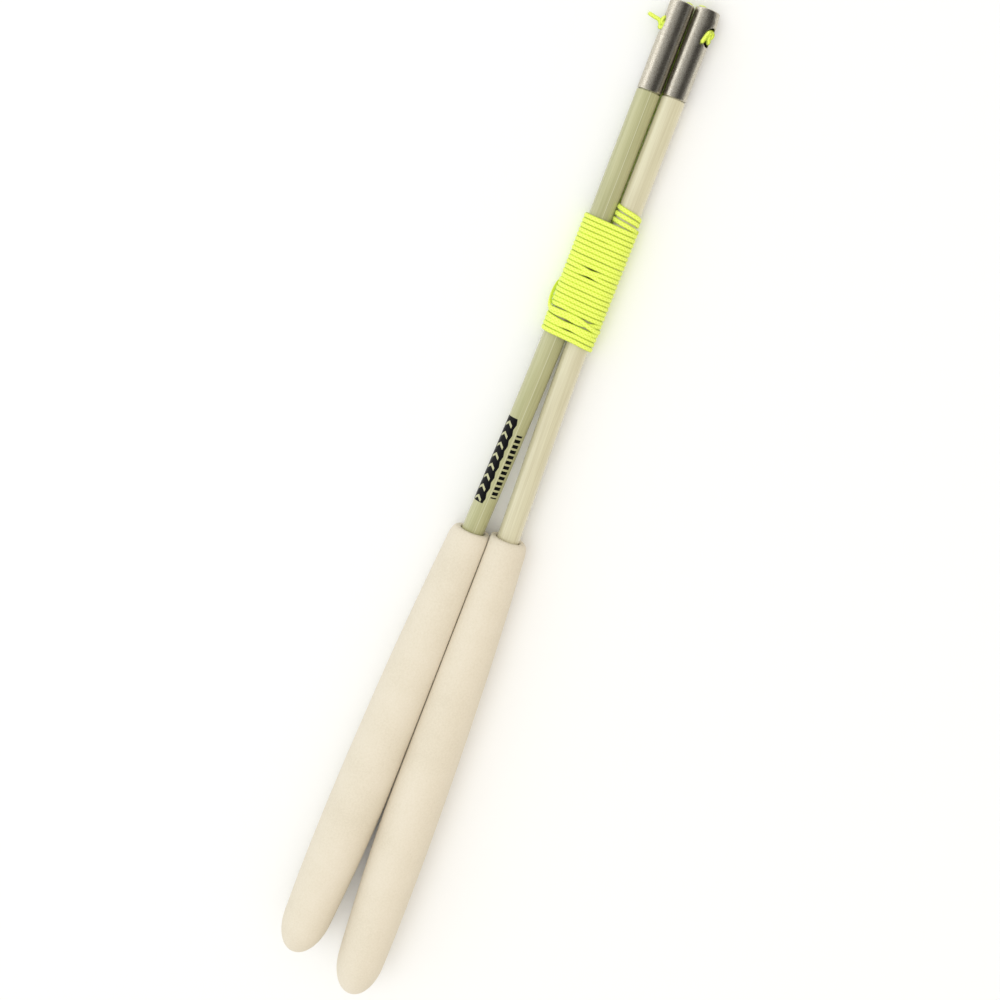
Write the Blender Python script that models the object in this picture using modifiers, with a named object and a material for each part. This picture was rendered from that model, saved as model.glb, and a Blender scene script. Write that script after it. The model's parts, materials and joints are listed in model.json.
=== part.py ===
"""Pair of diabolo hand sticks, stored side by side and bound together with their own string.

Each stick is a hollow fibreglass tube with a soft foam grip, an end plug inside the grip and a
metal ferrule on its tip. The string is knotted in the window of one ferrule and comes out through
the ferrule's nose. It runs down the groove under the tubes, is wound round both of them, takes a
few locking turns round the right tube alone and runs up the groove again to the other ferrule.

Units are metres and +Z is up. The pair lies as it would on a table: tips towards +X, the left
stick towards +Y. Places along the sticks are counted from the grip-side end of the string wrap
towards the tips. Sideways places are counted from the plane between the two sticks.
"""

import math

import bmesh
import bpy
from mathutils import Matrix, Vector

# Clearances
GAP = 0.0003
STRING_GAP = 0.0001

# Tube
TUBE_RADIUS = 0.0037
TUBE_BORE_RADIUS = 0.0023
TUBE_SEAT_RADIUS = 0.00315
TUBE_SEAT_LENGTH = 0.0125
HALF_SPACING = TUBE_RADIUS + GAP / 2

# Tip ferrule
FERRULE_RADIUS = 0.003775
FERRULE_WALL = 0.000425
FERRULE_LENGTH = 0.0265
FERRULE_EDGE = 0.0005
NOSE_LENGTH = 0.004
NOSE_HOLE_RADIUS = 0.0012
NOSE_MOUTH_ROUNDING = 0.001
WINDOW_LENGTH = 0.0058
WINDOW_WIDTH = 0.0042
WINDOW_FROM_TIP = 0.0073

# Foam grip
GRIP_RADIUS = 0.00935
GRIP_MOUTH_RADIUS = 0.0068
GRIP_BUTT_DROP = 0.0018
GRIP_DOME_LENGTH = 0.014
GRIP_DOME_POWER = 2.2
GRIP_TAPER_POWER = 2.2
BELLY_TO_MOUTH = 0.101
GRIP_LIP = 0.0012
GRIP_BORE_RADIUS = TUBE_RADIUS + GAP
FOAM_BELOW_PLUG = 0.011

# End plug
PLUG_HEAD_RADIUS = 0.0044
PLUG_HEAD_LENGTH = 0.002
PLUG_STEM_LENGTH = 0.008

# String
STRING_DIAMETER = 0.0013
STRING_WOUND_THICKNESS = 0.001
STRING_PACKED_DIAMETER = 0.0012
WRAP_LENGTH = 0.0385
LOCKING_LENGTH = 0.0056
LOCKING_THICKNESS = 0.00085
KNOT_SIZE = Vector((0.0042, 0.003, 0.0031))
KNOT_FROM_AXIS = 0.0037
KNOT_PAST_WINDOW_CENTRE = 0.0004
STRING_START_FROM_AXIS = 0.0012

# The grips press the sticks apart, so that each tube bends outwards below the wrap
BOW_START = 0.008
BOW_LENGTH = 0.025
BOW_SLOPE = 0.0362

# Resolution
ROUND_STEPS = 32
FOAM_STEPS = 32
EDGE_STEPS = 3
ROUTE_STEPS = 5
MERGE_DISTANCE = 0.00001

TURNED_TO_LENGTHWISE = Matrix(((0, 0, 1, 0), (1, 0, 0, 0), (0, 1, 0, 0), (0, 0, 0, 1)))


class Stick:
    """Places along one stick. side is +1 for the left stick and -1 for the right one."""

    def __init__(self, name, side, tip, grip_mouth, grip_end, window_turn, tail):
        self.name = name
        self.side = side
        self.tip = tip
        self.ferrule_foot = tip - FERRULE_LENGTH
        self.grip_mouth = grip_mouth
        self.grip_end = grip_end
        self.plug_base = grip_end + FOAM_BELOW_PLUG
        self.tube_foot = self.plug_base + PLUG_HEAD_LENGTH + GAP
        self.window_centre = tip - WINDOW_FROM_TIP
        self.window_turn = window_turn
        self.tail = tail
        self.frame = None


LEFT = Stick(
    name="left",
    side=1,
    tip=0.1045,
    grip_mouth=-0.0672,
    grip_end=-0.2333,
    window_turn=math.radians(4),
    tail=Vector((0.0006, 0.0039, 0.0004)),
)
RIGHT = Stick(
    name="right",
    side=-1,
    tip=0.1051,
    grip_mouth=-0.0658,
    grip_end=-0.2396,
    window_turn=math.radians(30),
    tail=Vector((-0.0011, -0.0001, 0.0005)),
)


# ---------------------------------------------------------------- scene

def clear_scene():
    for obj in list(bpy.data.objects):
        bpy.data.objects.remove(obj, do_unlink=True)


def new_collection(name):
    collection = bpy.data.collections.new(name)
    bpy.context.scene.collection.children.link(collection)
    return collection


def new_frame(name, collection, parent=None, location=(0, 0, 0)):
    frame = bpy.data.objects.new(name, None)
    frame.empty_display_size = 0.01
    frame.location = location
    frame.parent = parent
    collection.objects.link(frame)
    return frame


def new_material(name, colour, roughness, metallic=0.0):
    material = bpy.data.materials.new(name)
    material.use_nodes = True
    shader = material.node_tree.nodes["Principled BSDF"]
    shader.inputs["Base Color"].default_value = (*colour, 1.0)
    shader.inputs["Roughness"].default_value = roughness
    shader.inputs["Metallic"].default_value = metallic
    return material


def add_part(name, data, material, collection, parent):
    part = bpy.data.objects.new(name, data)
    part.data.materials.append(material)
    part.parent = parent
    collection.objects.link(part)
    return part


def add_cutter(name, mesh, collection, parent):
    cutter = bpy.data.objects.new(name, mesh)
    cutter.display_type = "WIRE"
    cutter.hide_render = True
    cutter.parent = parent
    collection.objects.link(cutter)
    return cutter


def boolean(part, cutter, operation="DIFFERENCE"):
    modifier = part.modifiers.new(cutter.name, "BOOLEAN")
    modifier.operation = operation
    modifier.object = cutter


# ---------------------------------------------------------------- shapes

def settled_mesh(obj):
    """The mesh of a construction object with its modifiers applied. The object is removed."""
    bpy.context.scene.collection.objects.link(obj)
    evaluated = obj.evaluated_get(bpy.context.evaluated_depsgraph_get())
    mesh = bpy.data.meshes.new_from_object(evaluated)
    bpy.data.objects.remove(obj, do_unlink=True)
    work = bmesh.new()
    work.from_mesh(mesh)
    bmesh.ops.remove_doubles(work, verts=work.verts, dist=MERGE_DISTANCE)
    work.to_mesh(mesh)
    work.free()
    return mesh


def smooth(mesh, sharp_angle=math.radians(35)):
    mesh.shade_smooth()
    mesh.set_sharp_from_angle(angle=sharp_angle)
    return mesh


def turned(name, outline, steps=ROUND_STEPS):
    """A mesh turned about the X axis from (along, radius) points, which run down its outer side.

    An outline that starts off the axis is closed into a ring.
    """
    mesh = bpy.data.meshes.new(name)
    edges = [(i, i + 1) for i in range(len(outline) - 1)]
    if outline[0][1] > 0:
        edges.append((len(outline) - 1, 0))
    mesh.from_pydata([(radius, 0, along) for along, radius in outline], edges, [])
    blank = bpy.data.objects.new(name, mesh)
    screw = blank.modifiers.new("turn", "SCREW")
    screw.steps = steps
    screw.render_steps = steps
    screw.use_merge_vertices = True
    screw.merge_threshold = MERGE_DISTANCE
    solid = settled_mesh(blank)
    solid.transform(TURNED_TO_LENGTHWISE)
    return smooth(solid)


def round_corner(along, radius, size, start_angle, end_angle, steps=EDGE_STEPS):
    """Points on an arc about (along, radius). Angle 0 points outwards and 90 towards the tip."""
    points = []
    for i in range(steps + 1):
        angle = math.radians(start_angle + (end_angle - start_angle) * i / steps)
        points.append((along + size * math.sin(angle), radius + size * math.cos(angle)))
    return points


def extruded(name, outlines, thickness):
    """A flat outline, with any holes in it, extruded equally to both sides along Z."""
    curve = bpy.data.curves.new(name, "CURVE")
    curve.dimensions = "2D"
    curve.fill_mode = "BOTH"
    curve.extrude = thickness / 2
    for outline in outlines:
        spline = curve.splines.new("POLY")
        spline.points.add(len(outline) - 1)
        spline.use_cyclic_u = True
        for point, (x, y) in zip(spline.points, outline):
            point.co = (x, y, 0, 1)
    return settled_mesh(bpy.data.objects.new(name, curve))


def stadium(half_spacing, radius, steps=ROUND_STEPS // 2):
    """A closed outline round two circles that are half_spacing to each side of the centre."""
    points = []
    for side in (1, -1):
        for i in range(steps + 1):
            angle = math.pi * (i / steps - 0.5)
            points.append((side * (half_spacing + radius * math.cos(angle)), side * radius * math.sin(angle)))
    return points


def bow(along):
    """How far a stick's axis has moved outwards. It is nothing in most of the wrap."""
    past = max(0.0, BOW_START - along)
    return BOW_SLOPE * (math.hypot(past, BOW_LENGTH) - BOW_LENGTH)


def bowed(mesh, stick):
    for vertex in mesh.vertices:
        vertex.co.y += stick.side * bow(vertex.co.x)
    return mesh


def spaced(start, end, count):
    return [start + (end - start) * i / count for i in range(count + 1)]


def smooth_route(points, steps=ROUTE_STEPS):
    """Points on a smooth curve (Catmull-Rom, centripetal) through a route's own points."""
    knots = [Vector(p) for p in points]
    knots = [2 * knots[0] - knots[1], *knots, 2 * knots[-1] - knots[-2]]
    route = [knots[1]]
    for p0, p1, p2, p3 in zip(knots, knots[1:], knots[2:], knots[3:]):
        t1 = math.sqrt((p1 - p0).length)
        t2 = t1 + math.sqrt((p2 - p1).length)
        t3 = t2 + math.sqrt((p3 - p2).length)
        for i in range(1, steps + 1):
            t = t1 + (t2 - t1) * i / steps
            a1 = p0.lerp(p1, t / t1)
            a2 = p1.lerp(p2, (t - t1) / (t2 - t1))
            a3 = p2.lerp(p3, (t - t2) / (t3 - t2))
            b1 = a1.lerp(a2, t / t2)
            b2 = a2.lerp(a3, (t - t1) / (t3 - t1))
            route.append(b1.lerp(b2, (t - t1) / (t2 - t1)))
    return route


def string_curve(name, route, diameter):
    curve = bpy.data.curves.new(name, "CURVE")
    curve.dimensions = "3D"
    curve.bevel_depth = diameter / 2
    curve.bevel_resolution = 2
    curve.use_fill_caps = True
    spline = curve.splines.new("POLY")
    spline.points.add(len(route) - 1)
    for point, place in zip(spline.points, route):
        point.co = (*place, 1)
    return curve


# ---------------------------------------------------------------- stick

def tube_mesh(stick):
    """A straight tube with its tip turned down to sit in the ferrule, bent to the stick's bow."""
    seat_foot = stick.ferrule_foot - GAP
    seat_end = stick.ferrule_foot + TUBE_SEAT_LENGTH
    bend = spaced(BOW_START, stick.grip_mouth, 10) + spaced(stick.grip_mouth, stick.tube_foot, 4)[1:]
    outline = [(seat_end, TUBE_SEAT_RADIUS), (seat_foot, TUBE_SEAT_RADIUS), (seat_foot, TUBE_RADIUS)]
    outline += [(along, TUBE_RADIUS) for along in bend]
    outline += [(along, TUBE_BORE_RADIUS) for along in reversed(bend)]
    outline.append((seat_end, TUBE_BORE_RADIUS))
    return bowed(turned(f"{stick.name}_tube", outline), stick)


def plug_mesh(stick):
    stem_radius = TUBE_BORE_RADIUS - GAP
    head_top = stick.plug_base + PLUG_HEAD_LENGTH
    stem_top = head_top + PLUG_STEM_LENGTH
    outline = [
        (stem_top, 0),
        (stem_top, stem_radius),
        (head_top, stem_radius),
        (head_top, PLUG_HEAD_RADIUS),
        (stick.plug_base, PLUG_HEAD_RADIUS),
        (stick.plug_base, 0),
    ]
    return bowed(turned(f"{stick.name}_end_plug", outline, steps=24), stick)


def ferrule_mesh(stick):
    """A sleeve with a thick nose. The nose's hole lets the string through, but not its knot."""
    inner = FERRULE_RADIUS - FERRULE_WALL
    nose_foot = stick.tip - NOSE_LENGTH
    rounding = NOSE_MOUTH_ROUNDING
    outline = round_corner(stick.tip - FERRULE_EDGE, FERRULE_RADIUS - FERRULE_EDGE, FERRULE_EDGE, 90, 0)
    outline += [(stick.ferrule_foot, FERRULE_RADIUS), (stick.ferrule_foot, inner), (nose_foot, inner)]
    outline.append((nose_foot, NOSE_HOLE_RADIUS))
    outline += round_corner(stick.tip - rounding, NOSE_HOLE_RADIUS + rounding, rounding, 180, 90)
    return turned(f"{stick.name}_tip_ferrule", outline)


def window_cutter(stick, collection):
    """A slot with round ends, cut through the outer wall of the ferrule."""
    half_run = (WINDOW_LENGTH - WINDOW_WIDTH) / 2
    depth = 2 * FERRULE_RADIUS
    mesh = extruded(f"{stick.name}_window", [stadium(half_run, WINDOW_WIDTH / 2)], depth)
    cutter = add_cutter(f"{stick.name}_window_cutter", mesh, collection, stick.frame)
    outwards = outward_direction(stick)
    cutter.rotation_mode = "QUATERNION"
    cutter.rotation_quaternion = Vector((0, 0, 1)).rotation_difference(outwards)
    cutter.location = Vector((stick.window_centre, 0, 0)) + outwards * (depth / 2 + FERRULE_RADIUS / 2)
    return cutter


def outward_direction(stick):
    """The way a ferrule's window faces: sideways, away from the other stick, and a little up."""
    return Vector((0, stick.side * math.cos(stick.window_turn), math.sin(stick.window_turn)))


def foam_radius(along, stick):
    """Outer radius of the grip: fullest at its belly, thinner at its mouth and domed at its end."""
    belly = stick.grip_mouth - BELLY_TO_MOUTH
    if along > belly:
        drop = (GRIP_RADIUS - GRIP_MOUTH_RADIUS) * ((along - belly) / BELLY_TO_MOUTH) ** GRIP_TAPER_POWER
    else:
        drop = GRIP_BUTT_DROP * ((belly - along) / (belly - stick.grip_end)) ** 2
    into_dome = 1 - min(1, (along - stick.grip_end) / GRIP_DOME_LENGTH)
    dome = (1 - into_dome**GRIP_DOME_POWER) ** (1 / GRIP_DOME_POWER)
    return (GRIP_RADIUS - drop) * dome


def grip_mesh(stick):
    """A foam sleeve with a blind bore, wider at its bottom for the plug's head."""
    shoulder = stick.grip_mouth - GRIP_LIP
    dome_top = stick.grip_end + GRIP_DOME_LENGTH
    pocket_floor = stick.plug_base - GAP
    pocket_top = stick.plug_base + PLUG_HEAD_LENGTH + GAP
    pocket_radius = PLUG_HEAD_RADIUS + GAP
    bore = [(pocket_floor, 0), (pocket_floor, pocket_radius), (pocket_top, pocket_radius)]
    bore += [(along, GRIP_BORE_RADIUS) for along in spaced(pocket_top, shoulder, 6)]
    inner_lip = GRIP_LIP / 2
    lip = round_corner(stick.grip_mouth - inner_lip, GRIP_BORE_RADIUS + inner_lip, inner_lip, 180, 90)
    lip += round_corner(shoulder, foam_radius(shoulder, stick) - GRIP_LIP, GRIP_LIP, 90, 0)
    side = [(along, foam_radius(along, stick)) for along in spaced(shoulder, dome_top, 16)[1:]]
    dome = []
    for i in range(1, 8):
        along = stick.grip_end + GRIP_DOME_LENGTH * (1 - math.sin(math.pi / 2 * i / 8))
        dome.append((along, foam_radius(along, stick)))
    outline = bore + lip + side + dome + [(stick.grip_end, 0)]
    return bowed(turned(f"{stick.name}_grip", outline, steps=FOAM_STEPS), stick)


def press_cutter(stick, collection):
    """The space past the plane between the sticks, where each grip presses the other one flat."""
    length = 0.4
    depth = 0.03
    work = bmesh.new()
    bmesh.ops.create_cube(work, size=1, matrix=Matrix.Diagonal((length, depth, depth, 1)))
    mesh = bpy.data.meshes.new(f"{stick.name}_press")
    work.to_mesh(mesh)
    work.free()
    cutter = add_cutter(f"{stick.name}_press_cutter", mesh, collection, stick.frame)
    to_plane = -stick.side * (HALF_SPACING - GAP / 2)
    cutter.location = (stick.grip_mouth - length / 3, to_plane - stick.side * depth / 2, 0)
    return cutter


# ---------------------------------------------------------------- string

GROOVE_SIDE = STRING_PACKED_DIAMETER / 2 + STRING_GAP / 2
GROOVE_REACH = FERRULE_RADIUS + STRING_PACKED_DIAMETER / 2 + STRING_GAP
GROOVE_DEPTH = math.sqrt(GROOVE_REACH**2 - (HALF_SPACING - GROOVE_SIDE) ** 2)


def tip_string_route(stick, lower_end):
    """From under the knot, out through the nose's hole, over the rim and down the groove.

    Sideways places are counted from the stick's own axis.
    """
    groove = Vector((0, -stick.side * (HALF_SPACING - GROOVE_SIDE), -GROOVE_DEPTH))
    to_groove = groove.normalized()
    clear = STRING_PACKED_DIAMETER / 2 + STRING_GAP

    def bend(rounding, rim_radius, start_angle, end_angle):
        corner = round_corner(stick.tip - rounding, rim_radius, rounding + clear, start_angle, end_angle)
        return [Vector((along, 0, 0)) + to_groove * reach for along, reach in corner]

    start = outward_direction(stick) * STRING_START_FROM_AXIS + Vector((stick.window_centre, 0, 0))
    hole_foot = Vector((stick.tip - NOSE_LENGTH, 0, 0)) + to_groove * (NOSE_HOLE_RADIUS - clear)
    route = [
        start,
        hole_foot,
        *bend(NOSE_MOUTH_ROUNDING, NOSE_HOLE_RADIUS + NOSE_MOUTH_ROUNDING, 180, 90),
        *bend(FERRULE_EDGE, FERRULE_RADIUS - FERRULE_EDGE, 90, 0),
        groove + Vector((stick.window_centre, 0, 0)),
        groove + Vector((stick.ferrule_foot, 0, 0)),
        groove + Vector(((stick.ferrule_foot + lower_end) / 2, 0, 0)),
        groove + Vector((lower_end, 0, 0)),
    ]
    return smooth_route(route)


def knot_mesh(stick):
    """An overhand knot drawn small, as one rounded lump."""
    work = bmesh.new()
    bmesh.ops.create_icosphere(work, subdivisions=3, radius=0.5, matrix=Matrix.Diagonal((*KNOT_SIZE, 1)))
    mesh = bpy.data.meshes.new(f"{stick.name}_knot")
    work.to_mesh(mesh)
    work.free()
    return smooth(mesh)


def knot_place(stick):
    along = stick.window_centre + KNOT_PAST_WINDOW_CENTRE
    return Vector((along, 0, 0)) + outward_direction(stick) * KNOT_FROM_AXIS


def tail_cutter(stick, collection):
    """The cut end of the string past its knot, to be joined to the knot."""
    direction = stick.tail.normalized()
    length = stick.tail.length
    overlap = 0.001
    work = bmesh.new()
    bmesh.ops.create_cone(
        work,
        cap_ends=True,
        segments=10,
        radius1=STRING_DIAMETER / 2,
        radius2=0.42 * STRING_DIAMETER,
        depth=length + overlap,
        matrix=Matrix.Translation((0, 0, (length - overlap) / 2)),
    )
    mesh = bpy.data.meshes.new(f"{stick.name}_tail")
    work.to_mesh(mesh)
    work.free()
    tail = add_cutter(f"{stick.name}_tail_cutter", mesh, collection, stick.frame)
    tail.rotation_mode = "QUATERNION"
    tail.rotation_quaternion = Vector((0, 0, 1)).rotation_difference(direction)
    tail.location = knot_place(stick) + direction * KNOT_SIZE.y / 2
    return tail


def wrap_mesh():
    """The turns round both tubes, as one closed sleeve of their outer shape."""
    inner = TUBE_RADIUS + GAP
    outlines = [stadium(HALF_SPACING, inner + STRING_WOUND_THICKNESS), stadium(HALF_SPACING, inner)]
    mesh = extruded("string_wrap", outlines, WRAP_LENGTH)
    mesh.transform(Matrix.Translation((WRAP_LENGTH / 2, 0, 0)) @ TURNED_TO_LENGTHWISE)
    return smooth(mesh)


def locking_mesh():
    """The turns round the right tube alone, before the left tube's place is taken out of them."""
    foot = WRAP_LENGTH + GAP
    top = foot + LOCKING_LENGTH
    inner = TUBE_RADIUS + GAP
    outer = inner + LOCKING_THICKNESS
    return turned("locking_turns", [(top, outer), (foot, outer), (foot, inner), (top, inner)])


def neighbour_cutter(collection, parent):
    """The left tube with its clearance, which nips the locking turns where they pass between."""
    margin = 0.01
    foot = WRAP_LENGTH - margin
    top = WRAP_LENGTH + LOCKING_LENGTH + margin
    radius = TUBE_RADIUS + GAP
    mesh = turned("neighbour", [(top, 0), (top, radius), (foot, radius), (foot, 0)])
    cutter = add_cutter("neighbour_cutter", mesh, collection, parent)
    cutter.location = (0, HALF_SPACING, 0)
    return cutter


# ---------------------------------------------------------------- assembly

def build_stick(stick, materials, parts, cutters):
    name = stick.name
    add_part(f"{name}_tube", tube_mesh(stick), materials[f"{name}_fibreglass"], parts, stick.frame)
    add_part(f"{name}_end_plug", plug_mesh(stick), materials["plug_plastic"], parts, stick.frame)
    metal = materials["ferrule_metal"]
    ferrule = add_part(f"{name}_tip_ferrule", ferrule_mesh(stick), metal, parts, stick.frame)
    boolean(ferrule, window_cutter(stick, cutters))
    grip = add_part(f"{name}_grip", grip_mesh(stick), materials["grip_foam"], parts, stick.frame)
    boolean(grip, press_cutter(stick, cutters))


def build_string_end(stick, lower_end, materials, parts, cutters):
    string = materials["string_braid"]
    route = tip_string_route(stick, lower_end)
    curve = string_curve(f"{stick.name}_tip_string", route, STRING_PACKED_DIAMETER)
    add_part(f"{stick.name}_tip_string", curve, string, parts, stick.frame)
    knot = add_part(f"{stick.name}_knot", knot_mesh(stick), string, parts, stick.frame)
    knot.location = knot_place(stick)
    knot.rotation_mode = "QUATERNION"
    knot.rotation_quaternion = Vector((0, stick.side, 0)).rotation_difference(outward_direction(stick))
    boolean(knot, tail_cutter(stick, cutters), "UNION")


def build_string(materials, parts, cutters, wrap_frame):
    string = materials["string_braid"]
    add_part("string_wrap", wrap_mesh(), string, parts, wrap_frame)
    under = [Vector((along, GROOVE_SIDE, -GROOVE_DEPTH)) for along in spaced(0, WRAP_LENGTH, 12)]
    under_curve = string_curve("string_under_wrap", under, STRING_PACKED_DIAMETER)
    add_part("string_under_wrap", under_curve, string, parts, wrap_frame)
    locking = add_part("locking_turns", locking_mesh(), string, parts, wrap_frame)
    locking.location.y = -HALF_SPACING
    boolean(locking, neighbour_cutter(cutters, wrap_frame))
    wrap_top = WRAP_LENGTH + GAP
    locking_top = wrap_top + LOCKING_LENGTH + GAP
    build_string_end(LEFT, wrap_top, materials, parts, cutters)
    build_string_end(RIGHT, locking_top, materials, parts, cutters)


def rest_tilt(stick):
    """The tilt, tips down, at which a stick's grip and its ferrule touch the table together."""
    low, high = 0.0, GRIP_RADIUS / (stick.tip - stick.grip_mouth)
    for _ in range(40):
        tilt = (low + high) / 2
        ferrule_depth = stick.tip * math.sin(tilt) + FERRULE_RADIUS * math.cos(tilt)
        grip_depth = max(
            along * math.sin(tilt) + foam_radius(along, stick) * math.cos(tilt)
            for along in spaced(stick.grip_end, stick.grip_mouth, 200)
        )
        if ferrule_depth < grip_depth:
            low = tilt
        else:
            high = tilt
    return tilt


def rest_on_table(pair, parts):
    """Tilts the pair until its grips and its tips touch the table, and centres it on the origin."""
    pair.rotation_euler.y = rest_tilt(RIGHT)
    bpy.context.view_layer.update()
    depsgraph = bpy.context.evaluated_depsgraph_get()
    corners = []
    for part in parts.objects:
        if part.type != "EMPTY":
            mesh = part.evaluated_get(depsgraph).to_mesh()
            corners += [part.matrix_world @ vertex.co for vertex in mesh.vertices]
    low = Vector([min(corner[axis] for corner in corners) for axis in range(3)])
    high = Vector([max(corner[axis] for corner in corners) for axis in range(3)])
    pair.location = (-(low.x + high.x) / 2, -(low.y + high.y) / 2, -low.z)


def main():
    clear_scene()
    parts = new_collection("diabolo_hand_sticks")
    cutters = new_collection("cutters")
    materials = {
        "left_fibreglass": new_material("left_fibreglass", (0.46, 0.47, 0.27), 0.3),
        "right_fibreglass": new_material("right_fibreglass", (0.71, 0.67, 0.47), 0.3),
        "ferrule_metal": new_material("ferrule_metal", (0.56, 0.54, 0.5), 0.35, 1.0),
        "grip_foam": new_material("grip_foam", (0.87, 0.8, 0.66), 0.85),
        "plug_plastic": new_material("plug_plastic", (0.05, 0.05, 0.05), 0.5),
        "string_braid": new_material("string_braid", (0.62, 0.95, 0.03), 0.8),
    }
    pair = new_frame("pair", parts)
    wrap_frame = new_frame("wrap", parts, pair)
    LEFT.frame = new_frame("left_stick", parts, wrap_frame, (0, HALF_SPACING, 0))
    RIGHT.frame = new_frame("right_stick", parts, wrap_frame, (0, -HALF_SPACING, 0))
    for stick in (LEFT, RIGHT):
        build_stick(stick, materials, parts, cutters)
    build_string(materials, parts, cutters, wrap_frame)
    rest_on_table(pair, parts)


main()
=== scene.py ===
"""Looks of a pair of diabolo hand sticks, stored side by side with their own string wound round them.

Shapes are made in the sticks' own coordinates, in metres: along (from the grip-side end of the
string wrap towards the tips), across (from the plane between the sticks towards the left one) and
height (above the sticks' axes). TO_ROW takes them to the row frame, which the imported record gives.
"""

import json
import math
import random

import bpy
import numpy as np
from mathutils import Matrix, Vector, noise


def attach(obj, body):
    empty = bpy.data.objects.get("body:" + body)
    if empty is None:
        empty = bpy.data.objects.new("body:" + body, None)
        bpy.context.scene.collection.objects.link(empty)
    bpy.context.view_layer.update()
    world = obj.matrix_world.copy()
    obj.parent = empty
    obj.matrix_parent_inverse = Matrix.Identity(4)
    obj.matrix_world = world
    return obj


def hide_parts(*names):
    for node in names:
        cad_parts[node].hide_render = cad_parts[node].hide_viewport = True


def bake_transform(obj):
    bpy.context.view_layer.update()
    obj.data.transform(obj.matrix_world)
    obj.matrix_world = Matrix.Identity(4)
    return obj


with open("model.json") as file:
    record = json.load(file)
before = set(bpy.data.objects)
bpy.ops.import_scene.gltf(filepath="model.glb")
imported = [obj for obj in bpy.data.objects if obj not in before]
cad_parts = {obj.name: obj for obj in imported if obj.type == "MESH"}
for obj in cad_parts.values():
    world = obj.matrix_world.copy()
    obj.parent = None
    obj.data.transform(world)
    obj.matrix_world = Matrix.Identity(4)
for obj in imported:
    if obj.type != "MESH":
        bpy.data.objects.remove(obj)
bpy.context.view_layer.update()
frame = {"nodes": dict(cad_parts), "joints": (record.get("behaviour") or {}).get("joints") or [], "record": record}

# Sizes that part.py gives the sticks
TUBE_RADIUS = 0.0037
TUBE_BORE_RADIUS = 0.0023
TUBE_SEAT_RADIUS = 0.00315
TUBE_SEAT_LENGTH = 0.0125
GAP = 0.0003
HALF_SPACING = TUBE_RADIUS + GAP / 2
FERRULE_RADIUS = 0.003775
FERRULE_WALL = 0.000425
FERRULE_LENGTH = 0.0265
FERRULE_EDGE = 0.0005
NOSE_LENGTH = 0.004
NOSE_HOLE_RADIUS = 0.0012
NOSE_MOUTH_ROUNDING = 0.001
WINDOW_LENGTH = 0.0058
WINDOW_WIDTH = 0.0042
WINDOW_FROM_TIP = 0.0073
GRIP_RADIUS = 0.00935
GRIP_MOUTH_RADIUS = 0.0068
GRIP_BUTT_DROP = 0.0018
GRIP_DOME_LENGTH = 0.014
GRIP_DOME_POWER = 2.2
GRIP_TAPER_POWER = 2.2
BELLY_TO_MOUTH = 0.101
GRIP_LIP = 0.0012
SHOULDER_LENGTH = 0.0035
SHOULDER_DROP = 0.0014
PRESSED_GAP = 0.00008
GRIP_BORE_RADIUS = TUBE_RADIUS + GAP
FOAM_BELOW_PLUG = 0.011
PLUG_HEAD_RADIUS = 0.0044
PLUG_HEAD_LENGTH = 0.002
WRAP_LENGTH = 0.0385
WRAP_HALF_THICKNESS = 0.005
BOW_START = 0.008
BOW_LENGTH = 0.025
BOW_SLOPE = 0.0362

# String
PACKED_DIAMETER = 0.0012
STRING_GAP = 0.0001
RIM_THICKNESS = 0.0009
INSIDE_FROM_AXIS = 0.0012
INSIDE_FROM_WINDOW = 0.001
GROOVE_SIDE = PACKED_DIAMETER / 2 + STRING_GAP / 2
GROOVE_REACH = FERRULE_RADIUS + PACKED_DIAMETER / 2 + STRING_GAP
GROOVE_DEPTH = math.sqrt(GROOVE_REACH**2 - (HALF_SPACING - GROOVE_SIDE) ** 2)
STATION_STEP = 0.0003
STRING_SIDES = 16
BRAID_PITCH = 0.0012
BRAID_LOBES = 4
BRAID_RELIEF = 0.000035
BRAID_MIDDLE = 0.6  # the part of the relief that sinks below the string's own surface
SEED = 7

# Turns round both tubes. A turn's level is its place in the finished winding, from 0 at the grip end
TURN_WIDTH = 0.00147
TURN_THICKNESS = 0.00105
TURN_RADIUS = 0.00440
TURN_COUNT = 26
STEPS_PER_TURN = 96
TURN_SMOOTHING = 4
UNEVEN_ALONG = 0.00007
UNEVEN_LIFT = (-0.00003, 0.00004)

# Where the turns meet the left side: the first one, and the first above the late turn
FIRST_LEFT = 0.00187
LOWER_PITCH = 0.00148
RESTART_LEFT = 0.01018
UPPER_PITCH = 0.00146

# How far a turn drops from left to right on the front: everywhere, more towards the grip end, and
# more again in the first few turns. Those also sag in the middle
FRONT_DROP = 0.00093
EXTRA_DROP = 0.00045
FOOT_DROP = 0.00035
FOOT_LEVELS = 5
MIDDLE_SAG = 0.0003
UNDER_SAG = 0.0009

# One turn is wound late: it crosses over its lower neighbour on the front, then climbs up the left
# side over the turns between. Each front key is (phase, along, lift)
UNDER_LEVEL = 4
OVER_LEVEL = 5
OVER_AFTER = 11
RESUMED = OVER_AFTER + 1
LEVELS = [*range(OVER_LEVEL), *range(OVER_LEVEL + 1, RESUMED), OVER_LEVEL, *range(RESUMED, TURN_COUNT)]
UNDER_FRONT = (
    (0.00, 0.0077, 0.0),
    (0.10, 0.0077, 0.0),
    (0.16, 0.0070, 0.0),
    (0.24, 0.0067, 0.0),
    (0.33, 0.0073, 0.0),
    (0.50, 0.0078, 0.0),
    (0.62, 0.0087, 0.0),
)
OVER_FRONT = (
    (0.00, 0.0060, 0.0002),
    (0.10, 0.0063, 0.0006),
    (0.15, 0.0071, 0.0009),
    (0.20, 0.0079, 0.0006),
    (0.25, 0.0080, 0.0002),
    (0.33, 0.0082, 0.0002),
    (0.39, 0.0086, 0.0003),
    (0.46, 0.0079, 0.0010),
)

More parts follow.
